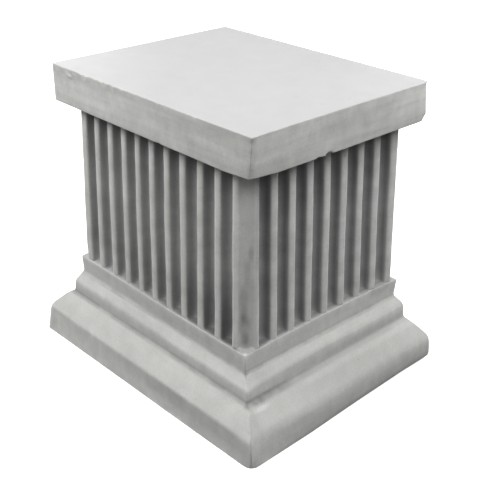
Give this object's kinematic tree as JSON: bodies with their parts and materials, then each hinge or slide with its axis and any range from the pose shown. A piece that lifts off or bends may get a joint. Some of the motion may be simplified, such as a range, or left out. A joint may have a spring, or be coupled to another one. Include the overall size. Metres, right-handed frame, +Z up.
{
  "type": "fluted pedestal",
  "caption": "Low rectangular cast-concrete pedestal: flat slab on a fluted shaft with chamfered corners, over a stepped, sloping base. Carries a pot, urn or statue.",
  "frame": {"origin": "on the floor, under the middle of the base", "axes": "+Z up, +X along the longer faces with more flutes, +Y along the shorter faces"},
  "size_m": [0.4304, 0.3446, 0.4],
  "materials": {
    "concrete": "matte cast concrete, pale grey, smooth with small pores"
  },
  "bodies": {
    "root": {"pedestal": "concrete"}
  },
  "joints": []
}
